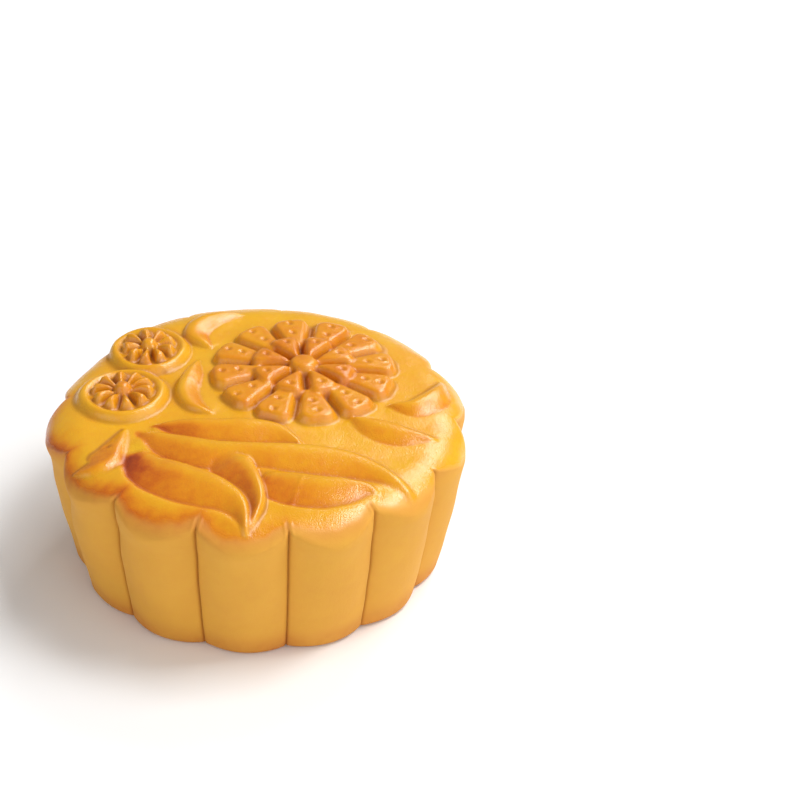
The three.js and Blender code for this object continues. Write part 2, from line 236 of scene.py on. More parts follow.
# The leaves: the mould's long curved leaves, carved into it so that on the cake each face slopes
# up from a sunken outer edge to a ridge near its inner edge, with a short round back behind.
# The ones in front lie over the others. A midrib is a few places with the leaf's width there:
# x, y, width. Sink is how far the outer edge lies below the skin, which swells beside it.
SMALL_LEAF = {"root_brown": 0.5, "tip_brown": 0.34, "ridge": 0.3, "sink": 0.1, "swell": 0.15}
LEAVES = {
    "short": {"rise": 1.5, "root_brown": 0.9, "tip_brown": 0.36, "midrib": [
        (-20.2, -5.6, 0.8), (-15, -6.9, 4.9), (-9, -8.1, 6.5),
        (-2.5, -8.8, 8), (3, -9.6, 6.8), (8.4, -12.9, 0.6),
    ]},
    "long": {"rise": 1.7, "root_brown": 0.6, "tip_brown": 0.42, "midrib": [
        (-22, -7.8, 3), (-16.4, -12.4, 7.6), (-9.3, -15.7, 8.9), (-0.5, -16.2, 7.2),
        (7.3, -17.4, 8.7), (15, -18.8, 8.7), (21.4, -21.8, 6.2), (28.6, -27.2, 0.6),
    ]},
    "front_right": {"rise": 1.8, "root_brown": 0.7, "tip_brown": 0.44, "wrinkles": (0.09, 0.3),
                    "midrib": [
        (0.4, -23.2, 6.5), (4.5, -25.6, 9.2), (10.3, -27.4, 9.4),
        (15.8, -27.3, 7.2), (19.6, -26.9, 3.6), (22, -27, 0.6),
    ]},
    "hooked": {"rise": 2.1, "root_brown": 0.55, "tip_brown": 0.62, "grown": 0.25, "midrib": [
        (-6.8, -15.8, 3.5), (-5.3, -19, 8.6), (-2.8, -23.4, 7),
        (-0.9, -28, 4.8), (-0.4, -32, 2.9), (-1.5, -36.3, 0.5),
    ]},
    # Its outer edge tucks under the skin, and a line of painted shade darkens it.
    "left": {"rise": 1.3, "root_brown": 0.22, "tip_brown": 0.54, "ridge": 0.75, "sink": 0.12,
             "swell": 0.08, "swell_reach": 3, "edge": 0.35, "edge_shade": 0.9, "back_edge": 2.4,
             "midrib": [
        (-25.2, -6.2, 0.8), (-26, -9.8, 3.6), (-27, -13, 5.4), (-28.3, -16, 6.8),
        (-30.6, -18.2, 4.6), (-34, -18.2, 0.6),
    ]},
    "front_left": {"rise": 2, "root_brown": 1, "tip_brown": 0.42, "root_edge": 0.8,
                   "grown": 0.05, "midrib": [
        (-23.4, -13.6, 4), (-20.4, -19.6, 9.6), (-14.6, -24.1, 11), (-9.5, -27, 9.8),
        (-5.6, -29.9, 7.4), (-3.3, -33.4, 4), (-2.2, -37.8, 0.5),
    ]},
    "right": {**SMALL_LEAF, "rise": 1.6, "midrib": [
        (17.5, -3.8, 1), (22, -7.4, 6.4), (27.4, -9.8, 6.2), (33.5, -10.4, 0.6),
    ]},
    "outer_right": {**SMALL_LEAF, "rise": 1.5, "midrib": [
        (25, 0.5, 1), (30.4, -0.6, 5.8), (34.4, 3.2, 5.4), (35.6, 9.5, 0.6),
    ]},
    "sprig": {**SMALL_LEAF, "rise": 1.5, "midrib": [
        (-8.5, -2.4, 0.8), (-12.2, 0.8, 4.2), (-13.6, 6, 5.2), (-12.4, 11.8, 4.2),
        (-11.6, 16.5, 0.6),
    ]},
    "back": {**SMALL_LEAF, "rise": 1.5, "midrib": [
        (-9, 21.5, 1), (-12, 26.4, 5.6), (-9.6, 31, 5.2), (-3.2, 34, 0.6),
    ]},
}
LEAF_SAMPLES = 400
LEAF_LEAST_WIDTH = 0.4
FACE_POWER = 1.5  # how round a leaf's face is
ARCH_POWER = 0.5  # how quickly a leaf rises from its root and falls to its tip
TIP_RISE = 0.3  # height of its tip, as a share of the rise
BACK_RISE = 0.5  # height of its inner edge, as a share of the rise
SINK_ENDS = 0.85  # share of its length from which its outer edge comes up to the skin
SWELL_FULL = 0.06  # share of its length where the skin beside it is fully swollen
SWELL_FADES = 0.9  # and from which it is so no longer
SWELL_END = 2.5  # where the swelling is nothing, as a multiple of its reach
ROOT_ENDS = 0.12  # share of its length that has the edge of the root
RIB_BLEND = 0.3  # half the width over which outer side becomes inner, as a share of the half width
WRINKLE_RISE = 0.12
WRINKLE_WIDTH = 0.3
BROWN_FADE = 3.2  # power by which the root's brown fades towards the tip
EDGE_BROWN = 0.1
EDGE_BROWN_REACH = 1.2
BEHIND_BROWN = 0.2
BEHIND_SHARE = 0.8
BEHIND_REACH = 0.55
# width of the painted shade along a leaf's outer edge
EDGE_SHADE_WIDTH = 0.42

relief = np.zeros_like(distance)
browning = np.zeros_like(distance)
in_leaf = np.zeros_like(distance)
# painted shade along the leaves' outer edges, where they tuck under the skin
painted_edge_shade = np.zeros_like(distance)


def spline(points, count):
    """A smooth curve through rows of numbers, at count places evenly spaced by row. Between two
    rows it is a cubic, which passes each row in the direction from the row before to the row
    after, by half that step."""
    rows = np.asarray(points, float)
    padded = np.vstack([rows[:1], rows, rows[-1:]])
    t = np.linspace(0, len(rows) - 1, count)
    k = np.minimum(t.astype(int), len(rows) - 2)
    f = (t - k)[:, None]
    before, here, there, after = (padded[k + i] for i in range(4))
    leave, arrive = (there - before) / 2, (after - here) / 2
    cubic = 2 * here - 2 * there + leave + arrive
    square = -3 * here + 3 * there - 2 * leave - arrive
    return cubic * f**3 + square * f**2 + leave * f + here


def leaf_places(rib, beyond):
    """The vertices within that far beyond a leaf and, from the place of its midrib nearest to
    each: the share of the leaf's length, the leaf's half width there, how far inside the edge
    the vertex is, and how far across, from -1 at the outer edge to 1 at the inner one. The
    leaf's length comes last."""
    half = np.maximum(rib[:, 2], LEAF_LEAST_WIDTH) / 2
    steps = np.gradient(rib[:, :2], axis=0)
    step_length = np.linalg.norm(steps, axis=1, keepdims=True)
    along = steps / step_length
    margin = half.max() + beyond
    low, high = rib[:, :2].min(0) - margin, rib[:, :2].max(0) + margin
    inside_box = (unrolled_x > low[0]) & (unrolled_x < high[0])
    inside_box &= (unrolled_y > low[1]) & (unrolled_y < high[1])
    near = np.flatnonzero(inside_box)
    places = np.stack([unrolled_x[near], unrolled_y[near]], -1)
    away = ((places[:, None, :] - rib[None, :, :2]) ** 2).sum(-1)
    nearest = away.argmin(1)
    offset = places - rib[nearest, :2]
    side = offset[:, 1] * along[nearest, 0] - offset[:, 0] * along[nearest, 1]
    reach = half[nearest]
    inside = reach - np.sqrt(away.min(1))
    across = np.clip(side / reach, -1, 1)
    return near, nearest / (LEAF_SAMPLES - 1), reach, inside, across, step_length.sum()


def leaf_height(share, across, length, rise, ridge, sink, wrinkles):
    """Height of a leaf above the skin. Across it, the face is one minus a power of the distance
    to the ridge, and the back a parabola. Along it, the rise is a power of a sine, which stays
    up at the tip, and each wrinkle of the face is a bell curve."""
    up_face = np.clip((across + 1) / (ridge + 1), 0, 1)
    down_back = np.clip((across - ridge) / (1 - ridge), 0, 1)
    face = 1 - (1 - up_face) ** FACE_POWER
    low_end = TIP_RISE * share
    full = rise * (low_end + (1 - low_end) * np.sin(math.pi * share) ** ARCH_POWER)
    sunk = sink * (1 - smooth(share, SINK_ENDS, 1))
    height = (full + sunk) * (face - (1 - BACK_RISE) * down_back**2) - sunk
    for place in wrinkles:
        from_wrinkle = (share - place) * length / WRINKLE_WIDTH
        height = height + WRINKLE_RISE * np.exp(-(from_wrinkle**2)) * (1 - down_back)
    return height


def leaf_brown(share, inside, across, root_brown, tip_brown, ridge):
    """Browning of a leaf: the root's, fading to the tip's by a power of the share that is left,
    a little more along the outer edge, and little behind the ridge."""
    brown = tip_brown + (root_brown - tip_brown) * (1 - share) ** BROWN_FADE
    along_edge = EDGE_BROWN * np.exp(-np.maximum(inside, 0) / EDGE_BROWN_REACH)
    brown = brown + along_edge * (across < 0)
    behind = smooth(across, ridge - BEHIND_REACH, ridge)
    return brown + (BEHIND_BROWN - brown) * BEHIND_SHARE * behind


def press_leaf(midrib, rise, root_brown, tip_brown, ridge=0.5, sink=0.35, edge=0.7,
               back_edge=0.5, root_edge=2.2, swell=0.4, swell_reach=1.8, wrinkles=(), grown=0,
               edge_shade=0):
    """Lays a leaf over the skin and over the leaves before it. It joins them in an S-shaped
    slope, as wide as edge, back_edge or root_edge says for that side. The skin swells beside
    its outer edge as a bell curve. Grown is the share of its length over which it grows out
    of the leaf under it, and the last argument how dark a line of painted shade is along its
    outer edge, where the face tucks under the skin."""
    rib = spline(midrib, LEAF_SAMPLES)
    near, share, reach, inside, across, length = leaf_places(rib, SWELL_END * swell_reach)
    height = leaf_height(share, across, length, rise, ridge, sink, wrinkles)
    outer_side = 1 - smooth(across, -RIB_BLEND, RIB_BLEND)
    beside = outer_side * smooth(share, 0, SWELL_FULL) * (1 - smooth(share, SWELL_FADES, 1))
    swollen = swell * beside * np.exp(-((np.maximum(-inside, 0) / swell_reach) ** 2))
    under = np.where(in_leaf[near] > 0, relief[near], np.maximum(relief[near], swollen))
    slope_width = back_edge + (edge - back_edge) * outer_side
    slope_width = slope_width + (root_edge - slope_width) * (1 - smooth(share, 0, ROOT_ENDS))
    out_of_it = smooth(share, 0, grown) if grown else 1
    share_in = smooth(inside, 0, np.minimum(slope_width, reach)) * out_of_it
    relief[near] = np.where(inside > 0, under + (height - under) * share_in, under)

    under_brown = browning[near]
    brown = leaf_brown(share, inside, across, root_brown, tip_brown, ridge)
    brown = under_brown + (brown - under_brown) * out_of_it
    browning[near] = np.where(inside > 0, brown, under_brown)
    # A line of painted shade along the outer edge, where the face tucks under the skin.
    edge_shade_line = edge_shade * np.exp(-((inside / EDGE_SHADE_WIDTH) ** 2)) * outer_side * (share > 0)
    painted_edge_shade[near] = np.maximum(painted_edge_shade[near], edge_shade_line)
    in_leaf[near] = np.where(inside > 0, 1, in_leaf[near])


for leaf in LEAVES.values():
    press_leaf(**leaf)
skin_and_leaves = relief.copy()

# The chrysanthemum: two rings of flat-topped petals and a boss, raised in the mould, with
# narrow slots between the petals. The baker pricks the petals, so that steam gets out.
FLOWER_CENTRE = (9, 12)
FLOWER = {"centre": FLOWER_CENTRE, "inner": 7.5, "outer": 18.5, "petals": 12, "turn": 8,
          "rise": 1.9, "fill": 0.93}
HEART = {"centre": FLOWER_CENTRE, "inner": 2.4, "outer": 10.8, "petals": 8, "turn": 25,
         "rise": 2.8, "fill": 0.92}
FLOWER_BOSS = {"radius": 3.6, "rise": 3.2}
PETAL_EDGE = 1.3
PETAL_CORNER = 0.75  # radius of a petal's outer corners, as a share of its half width
PETAL_SWELL = 0.1  # how much higher it is halfway along, as a share of its rise
PETAL_BROWN = 0.44
HEART_BROWN = PETAL_BROWN + 0.08
BOSS_EDGE = 1.6
BOSS_FALL = 0.12  # how much lower a boss is at its edge, as a share of its rise
BELOW_SKIN = -1  # a height that presses nothing


def press(height, brown):
    """Adds a form of the mould: the skin is as high as the highest form there, and as brown."""
    global relief, browning
    browning = np.where(height > relief, brown, browning)
    relief = np.maximum(relief, height)


def pillow(inside, reach):
    """Share of the full height at a distance inside a form's edge: a parabola, steep at the
    edge and level at that reach."""
    return 1 - (1 - np.clip(inside / reach, 0, 1)) ** 2


def press_petals(centre, inner, outer, petals, turn, rise, fill, edge, brown):
    """A ring of petals, worked out for the nearest petal at each place: its half width grows
    with the distance from the centre, its outer corners are round, and its edge is a pillow."""
    dx, dy = unrolled_x - centre[0], unrolled_y - centre[1]
    step = 360 / petals
    angle = np.degrees(np.arctan2(dx, -dy)) - turn
    off = np.radians((angle + step / 2) % step - step / 2)
    r = np.hypot(dx, dy)
    along, across = r * np.cos(off), np.abs(r * np.sin(off))
    half = math.tan(math.pi / petals) * fill * np.clip(along, inner, outer)
    corner = PETAL_CORNER * half
    past_side, past_end = across - (half - corner), along - (outer - corner)
    beyond = np.hypot(np.maximum(past_side, 0), np.maximum(past_end, 0))
    inside = corner - beyond - np.minimum(np.maximum(past_side, past_end), 0)
    inside = np.minimum(inside, along - inner)
    share = np.clip((along - inner) / (outer - inner), 0, 1)
    full = rise * (1 - PETAL_SWELL + PETAL_SWELL * np.sin(math.pi * share))
    reach = np.minimum(edge, half)
    press(np.where(inside > 0, full * pillow(inside, reach), BELOW_SKIN), brown)


def press_boss(centre, radius, rise, brown):
    """A round boss: a low parabola on top, which rounds over towards its edge."""
    r = np.hypot(unrolled_x - centre[0], unrolled_y - centre[1])
    full = rise * (1 - BOSS_FALL * (r / radius) ** 2)
    press(np.where(r < radius, full * pillow(radius - r, BOSS_EDGE), BELOW_SKIN), brown)


press_petals(**FLOWER, edge=PETAL_EDGE, brown=PETAL_BROWN)
press_petals(**HEART, edge=PETAL_EDGE, brown=HEART_BROWN)
press_boss(FLOWER_CENTRE, **FLOWER_BOSS, brown=PETAL_BROWN)

VENT_PIT = 0.5  # radius of a vent's pit
VENT_DEPTH = 0.4
VENT_RING = 0.95  # radius of the low ring that its pin pushes up
VENT_RING_WIDTH = 0.25
VENT_RING_RISE = 0.35 * VENT_DEPTH
VENT_JITTER = 0.35
VENT_ROWS = [(FLOWER, 16.1), (FLOWER, 12.7), (HEART, 8)]
PIN_SEED = 7
LEFT_LEAF_FLAW = (-28.2, -12.4)  # a burst bubble beside the left leaf's edge


def pit(x, y):
    """A pit shaped as a bell curve, inside a low ring shaped as another."""
    global relief
    r = np.hypot(unrolled_x - x, unrolled_y - y)
    ring = VENT_RING_RISE * np.exp(-(((r - VENT_RING) / VENT_RING_WIDTH) ** 2))
    relief = relief + ring - VENT_DEPTH * np.exp(-((r / VENT_PIT) ** 2))


def prick(row, radius, draw):
    """Pricks every petal of a ring at that radius, nearly in its middle."""
    for petal in range(row["petals"]):
        a = math.radians(row["turn"] + petal * 360 / row["petals"])
        x = row["centre"][0] + radius * math.sin(a) + draw.uniform(-VENT_JITTER, VENT_JITTER)
        y = row["centre"][1] - radius * math.cos(a) + draw.uniform(-VENT_JITTER, VENT_JITTER)
        pit(x, y)


pin = np.random.default_rng(PIN_SEED)
for ring, radius in VENT_ROWS:
    prick(ring, radius, pin)
pit(*LEFT_LEAF_FLAW)

# The two small blossoms: plump round ribs and a boss, in a low round plate whose thick rounded
# rim stands higher than its floor. They come out of the mould in one piece with the crust.
BLOSSOMS = [
    {"centre": (-26, 4.6), "inner": 1.8, "outer": 6.3, "petals": 10, "turn": 12,
     "rise": 2.9, "fill": 0.8},
    {"centre": (-21.6, 20.4), "inner": 1.6, "outer": 5.8, "petals": 9, "turn": 30,
     "rise": 2.9, "fill": 0.8},
]
BLOSSOM_BOSS = {"radius": 2.4, "rise": 3.4}
PLATE_MARGIN = 2.7
PLATE_RISE = 1.8
PLATE_FLOOR = 0.5  # as a share of the rim's height
PLATE_EDGE = 1.8
PLATE_BROWN = 0.22
RIM_STARTS = 0.66  # share of the plate's radius where its floor turns up
RIM_FULL = 0.84  # and where its rim is at full height
RIB_EDGE = 0.8
RIB_BROWN = 0.38


def press_plate(centre, radius):
    """A round plate: its floor is level, its rim rises from the floor in an S-shaped slope, and
    rounds over at the outer edge."""
    r = np.hypot(unrolled_x - centre[0], unrolled_y - centre[1])
    rim = smooth(r / radius, RIM_STARTS, RIM_FULL)
    full = PLATE_RISE * (PLATE_FLOOR + (1 - PLATE_FLOOR) * rim)
    press(np.where(r < radius, full * pillow(radius - r, PLATE_EDGE), BELOW_SKIN), PLATE_BROWN)


for blossom in BLOSSOMS:
    press_plate(blossom["centre"], blossom["outer"] + PLATE_MARGIN)
    press_petals(**blossom, edge=RIB_EDGE, brown=RIB_BROWN)
    press_boss(blossom["centre"], **BLOSSOM_BOSS, brown=RIB_BROWN)

# The skin of the cake: the whole mesh, with its unevenness, and masks for the browning, which
# also carries painted shade in the hollows and on the left of the shoulder, the egg wash that was
# brushed on the top and over the shoulder, and painted shade in the creases and grooves, partly
# egg wash pooled in the creases.
MM = 0.001
EDGE_BLUR = 1  # passes of the blur that rounds the relief's edges
BROWN_BLUR = 3
WAVE_COUNT = 9
WAVE_SPREAD = (0.7, 1.5)  # of the waves' lengths, as shares of the named one
SKIN_WAVES = [(0.12, 22, 1), (0.05, 7, 2)]  # height, wavelength and seed
WASH_WAVES = [(0.5, 14, 3), (0.25, 3, 4)]
NOTCH_START = 35.2  # where a groove's sharp line starts in the shoulder at the front
NOTCH_LATER = 3.4  # how much farther out it starts elsewhere
NOTCH_FRONT_DEG = -5
NOTCH_FADE_IN = 0.3
NOTCH_FULL = 0.5
LIP_RISE = 0.1  # of the low lips that the mould pushed up along a groove
LIP_AWAY = 0.7
LIP_WIDTH = 0.35
LIP_FADES = 38
LIP_ENDS = 42
WAIST_DEPTH = 0.6  # of the wall's hollow under the shoulder, on the left
WAIST_BELOW = 2.5
WAIST_HEIGHT = 4


def blurred(values, passes):
    """The values with those of the square net averaged with their neighbours, over and over:
    twice the place itself, and once each place beside it."""
    net = values[: NET_SIDE**2].reshape(NET_SIDE, NET_SIDE)
    for _ in range(passes):
        padded = np.pad(net, 1, mode="edge")
        net = (padded[:-2, 1:-1] + 2 * padded[1:-1, 1:-1] + padded[2:, 1:-1]) / 4
        padded = np.pad(net, 1, mode="edge")
        net = (padded[1:-1, :-2] + 2 * padded[1:-1, 1:-1] + padded[1:-1, 2:]) / 4
    return np.concatenate([net.ravel(), values[NET_SIDE**2 :]])


def waves(points, height, wavelength, seed):
    """Smooth unevenness of about that height: the sum of plane waves in drawn directions, each
    near that wavelength, over the root of their number."""
    draw = np.random.default_rng(seed)
    total = np.zeros(len(points))
    for _ in range(WAVE_COUNT):
        direction = draw.normal(size=3)
        direction /= np.linalg.norm(direction)
        length = wavelength * draw.uniform(*WAVE_SPREAD)
        total += np.sin(points @ direction * 2 * math.pi / length + draw.uniform(0, 2 * math.pi))
    return height * (total / math.sqrt(WAVE_COUNT))


relief = blurred(relief, EDGE_BLUR)
browning = blurred(browning, BROWN_BLUR)
even = cake_skin(distance, degrees, lobe_share, relief)
middle = (even.min(0) + even.max(0)) / 2 * [1, 1, 0]

rightward = to_the_right(degrees)
from_groove = np.minimum(lobe_share, 1 - lobe_share) * LOBE_WIDTH
from_front = 1 - np.cos(np.radians(degrees - NOTCH_FRONT_DEG))
notch = NOTCH_START + NOTCH_LATER * smooth(from_front, 0, 1)
cut = smooth(distance, notch - NOTCH_FADE_IN, notch + NOTCH_FULL)
uneven = sum(waves(even, *row) for row in SKIN_WAVES)
below_shoulder = distance - SHOULDER_END
waist = np.exp(-(((below_shoulder - WAIST_BELOW) / WAIST_HEIGHT) ** 2)) * (1 - rightward)
lip = LIP_RISE * np.exp(-(((from_groove - LIP_AWAY) / LIP_WIDTH) ** 2)) * cut
lip = lip * (1 - smooth(distance, LIP_FADES, LIP_ENDS))
lift = relief + uneven - WAIST_DEPTH * waist + lip
lift *= 1 - smooth(distance, WALL_END, WALL_END + FOOT_LENGTH)
skin = cake_skin(distance, degrees, lobe_share, lift)

top_faces, wall_faces, base_faces = net_faces()
vertices = np.vstack([skin, [[0, 0, 0]]])
vertices[:, :2] -= middle[:2]
mesh = bpy.data.meshes.new("mooncake_crust")
corners = np.concatenate([top_faces.ravel(), wall_faces.ravel(), base_faces.ravel()])
sizes = np.concatenate([np.full(len(top_faces) + len(wall_faces), 4), np.full(len(base_faces), 3)])
mesh.vertices.add(len(vertices))
mesh.vertices.foreach_set("co", (vertices * MM).astype(np.float32).ravel())
mesh.loops.add(len(corners))
mesh.loops.foreach_set("vertex_index", corners.astype(np.int32))
mesh.polygons.add(len(sizes))
starts = np.concatenate([[0], np.cumsum(sizes)[:-1]])
mesh.polygons.foreach_set("loop_start", starts.astype(np.int32))
mesh.polygons.foreach_set("loop_total", sizes.astype(np.int32))
mesh.polygons.foreach_set("use_smooth", sizes == 4)
mesh.update(calc_edges=True)
mesh.validate()

CREASE_BLUR = 3  # passes of the blur whose height a crease lies below
CREASE_DEPTH = 0.28  # where it is fully dark
HOLLOW_BLUR = 14  # and those for the wider hollows between forms, which are darkened as painted shade
HOLLOW_DEPTH = 0.6
# how far the hollows are darkened along the ramp, as painted shade
HOLLOW_SHADE = 0.06
# width and strength of the painted shade in each groove's slit on the wall
GROOVE_SHADE_WIDTH = 0.3
GROOVE_SHADE_SHARE = 0.5
WASH_DROOP = 3.3  # how far the wash reaches past the notches, down the middle of a lobe
WASH_DROOP_POWER = 0.7
WASH_FADES = 1  # how far inside its edge the wash starts to fade
WASH_ENDS = 1.1  # and how far past its edge the last of it is
STAIN_BELOW = 0.6  # the wash's edge
STAIN_WIDTH = 2.1
STAIN_LOSS = 0.8  # share of the stain that is missing on the cake's right
BARE_BROWN = 0.16
# browning of the shoulder above the wash's edge, with painted shade on the left
SHOULDER_BROWN_AND_SHADE = 0.5
SHOULDER_BROWN_REACH = 5
FOOT_BROWN_REACH = 5
FOOT_BROWN_FULL = 1
FORM_STARTS = 0.02  # height from which a raised form has its own brown
FORM_FULL = 0.1


def mask(name, values):
    """Keeps one number a vertex in the mesh for the material; the base's middle gets nought."""
    layer = mesh.attributes.new(name, "FLOAT", "POINT")
    layer.data.foreach_set("value", np.append(values, 0).astype(np.float32))


# Painted shade in the creases between forms, where the relief lies below its blur; partly egg wash
# that pooled there.
crease_shade_and_wash = np.clip((blurred(relief, CREASE_BLUR) - relief) / CREASE_DEPTH, 0, 1)
hollow = np.clip((blurred(relief, HOLLOW_BLUR) - relief) / HOLLOW_DEPTH, 0, 1)
# Painted shade in the slit at the bottom of each groove, from the notch down the wall.
groove_shade = np.exp(-((from_groove / GROOVE_SHADE_WIDTH) ** 2)) * cut
lobe_full = np.sin(math.pi * np.clip(lobe_share, 0, 1))
wash_end = notch + WASH_DROOP * lobe_full**WASH_DROOP_POWER
wash_end = wash_end + sum(waves(even, *row) for row in WASH_WAVES)
past_wash = distance - wash_end
stain = np.exp(-(((past_wash - STAIN_BELOW) / STAIN_WIDTH) ** 2)) * (1 - STAIN_LOSS * rightward)
# Browner towards the wash's edge, and more so on the left: partly real browning, partly painted
# shade on the side away from the lamps.
shoulder_brown_and_shade = smooth(past_wash, -SHOULDER_BROWN_REACH, 0) * (1 - rightward) ** 2
bare_brown_and_shade = BARE_BROWN + SHOULDER_BROWN_AND_SHADE * shoulder_brown_and_shade
above_skin = relief - blurred(skin_and_leaves, EDGE_BLUR)
formed = blurred(np.maximum(in_leaf, smooth(above_skin, FORM_STARTS, FORM_FULL)), EDGE_BLUR)
mask("glaze", 1 - smooth(past_wash, -WASH_FADES, WASH_ENDS))
# The browning mask also carries painted shade: in the hollows, and on the left of the shoulder.
mask("browning", bare_brown_and_shade + (browning - bare_brown_and_shade) * formed + HOLLOW_SHADE * hollow)
mask("crease_shade_and_wash", np.maximum(np.maximum(crease_shade_and_wash, painted_edge_shade), GROOVE_SHADE_SHARE * groove_shade))
mask("stain", stain)
mask("foot", smooth(distance, WALL_END - FOOT_BROWN_REACH, WALL_END + FOOT_BROWN_FULL))
crust = bpy.data.objects.new("crust", mesh)
bpy.context.scene.collection.objects.link(crust)

# The crust's finish: golden dough, matte and pale on the wall, egg-washed, glossy and browned
# on the top, with painted shade in the creases, partly egg wash pooled there, fine mottling and a
# slightly pebbled wash.
TOP_BROWNS = [  # browning, and the screen colour there
    (0.0, (249, 188, 30)), (0.3, (245, 168, 22)), (0.5, (238, 146, 16)),
    (0.7, (219, 114, 12)), (0.85, (192, 80, 8)), (1.0, (154, 50, 6)),
]
WALL_GOLD = (242, 175, 50)
WALL_TAN = (230, 157, 40)
WALL_PALE = (244, 188, 68)
WALL_BROWN = (210, 112, 28)
# the colour of the painted shade in the creases, and of egg wash pooled there
CREASE_SHADE_AND_WASH_BROWN = (152, 62, 4)
DEPTH_OF_COLOUR = 0.77  # those colours are multiplied by this, because the crust is deeper
BLOTCHES = (9, 2)  # size of the marks, and how many finer sizes they are broken up by
MOTTLE = (1.6, 3)
SPECKS = (0.35, 2)
PEBBLES = (0.3, 1)
GRAINS = (0.2, 2)
BLOTCH_BROWN = 0.4  # from the palest blotch to the brownest
MOTTLE_BROWN = 0.3
SPECK_BROWN = 0.1
STAIN_BROWN = 0.14
TAN_BLOTCHES = (0.9, -0.05)  # multiplied by the first, and then raised by the second
PALE_MOTTLE = (0.5, -0.1)
BROWN_BLOTCHES = (2.0, -0.1)
BROWN_MOTTLE = (1.2, 0.3)
WALL_STAIN = 0.5
WALL_FOOT_BROWN = 0.5
CREASE_SHARE = 0.68
WALL_ROUGHNESS = 0.76
GLAZE_ROUGHNESS = 0.23
CREASE_ROUGHNESS = 0.25
MOTTLE_ROUGHNESS = 0.16
GLAZE_PEBBLES = (0.7, 0.5)
GLAZE_GRAINS = (0.35, 0.3)
MOTTLE_HEIGHT = 1.5
BUMP_HEIGHT = 0.06
BUMP_STRENGTH = 0.7
SPECULAR_LEVEL = 0.6
MIX_AMOUNT, MIX_FIRST, MIX_SECOND = 0, 6, 7  # the mix node's inputs when it mixes colours
MIX_RESULT = 2  # and its output


def linear(red, green, blue):
    """A screen colour of 0 to 255 as the linear colour that a shader takes, by the standard
    curve of screens: a straight line near black, and a power above it."""
    shares = np.array([red, green, blue]) / 255
    values = np.where(shares <= 0.04045, shares / 12.92, ((shares + 0.055) / 1.055) ** 2.4)
    return (*values.tolist(), 1.0)


def node(tree, kind, inputs=(), **settings):
    """A new shader node with its settings, and its inputs given as values or as outputs."""
    made = tree.nodes.new(kind)
    for name, value in settings.items():
        setattr(made, name, value)
    for place, value in dict(inputs).items():
        if isinstance(value, bpy.types.NodeSocket):
            tree.links.new(value, made.inputs[place])
        else:
            made.inputs[place].default_value = value
    return made


